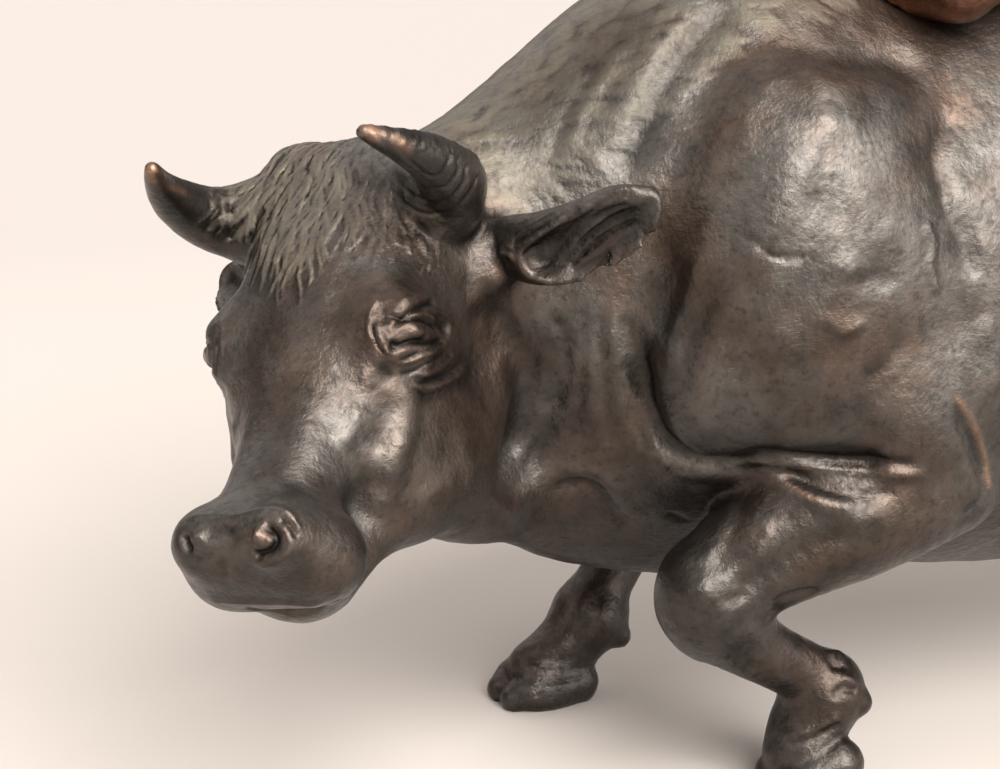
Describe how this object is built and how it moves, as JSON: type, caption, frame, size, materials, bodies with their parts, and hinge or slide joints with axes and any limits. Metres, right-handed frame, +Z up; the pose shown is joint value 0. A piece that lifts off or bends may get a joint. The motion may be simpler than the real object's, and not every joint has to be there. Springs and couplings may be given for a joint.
{
  "type": "bronze boy on ox sculpture",
  "caption": "Tabletop bronze of a walking ox with lowered, turned head and a boy seated cross-legged on its back; it stands on its own hooves.",
  "frame": {"origin": "centre of the bounding box, on the surface that the hooves stand on", "axes": "-X is the way the ox walks, -Y is its left, the side that its head turns to, and +Z is up"},
  "size_m": [0.5153, 0.1931, 0.3764],
  "materials": {
    "ox_bronze": "dark brown patinated bronze, dusty in the recesses and rubbed on the ridges",
    "boy_bronze": "red-brown patinated bronze"
  },
  "bodies": {
    "root": {"ox": "ox_bronze", "boy": "boy_bronze"}
  },
  "joints": []
}
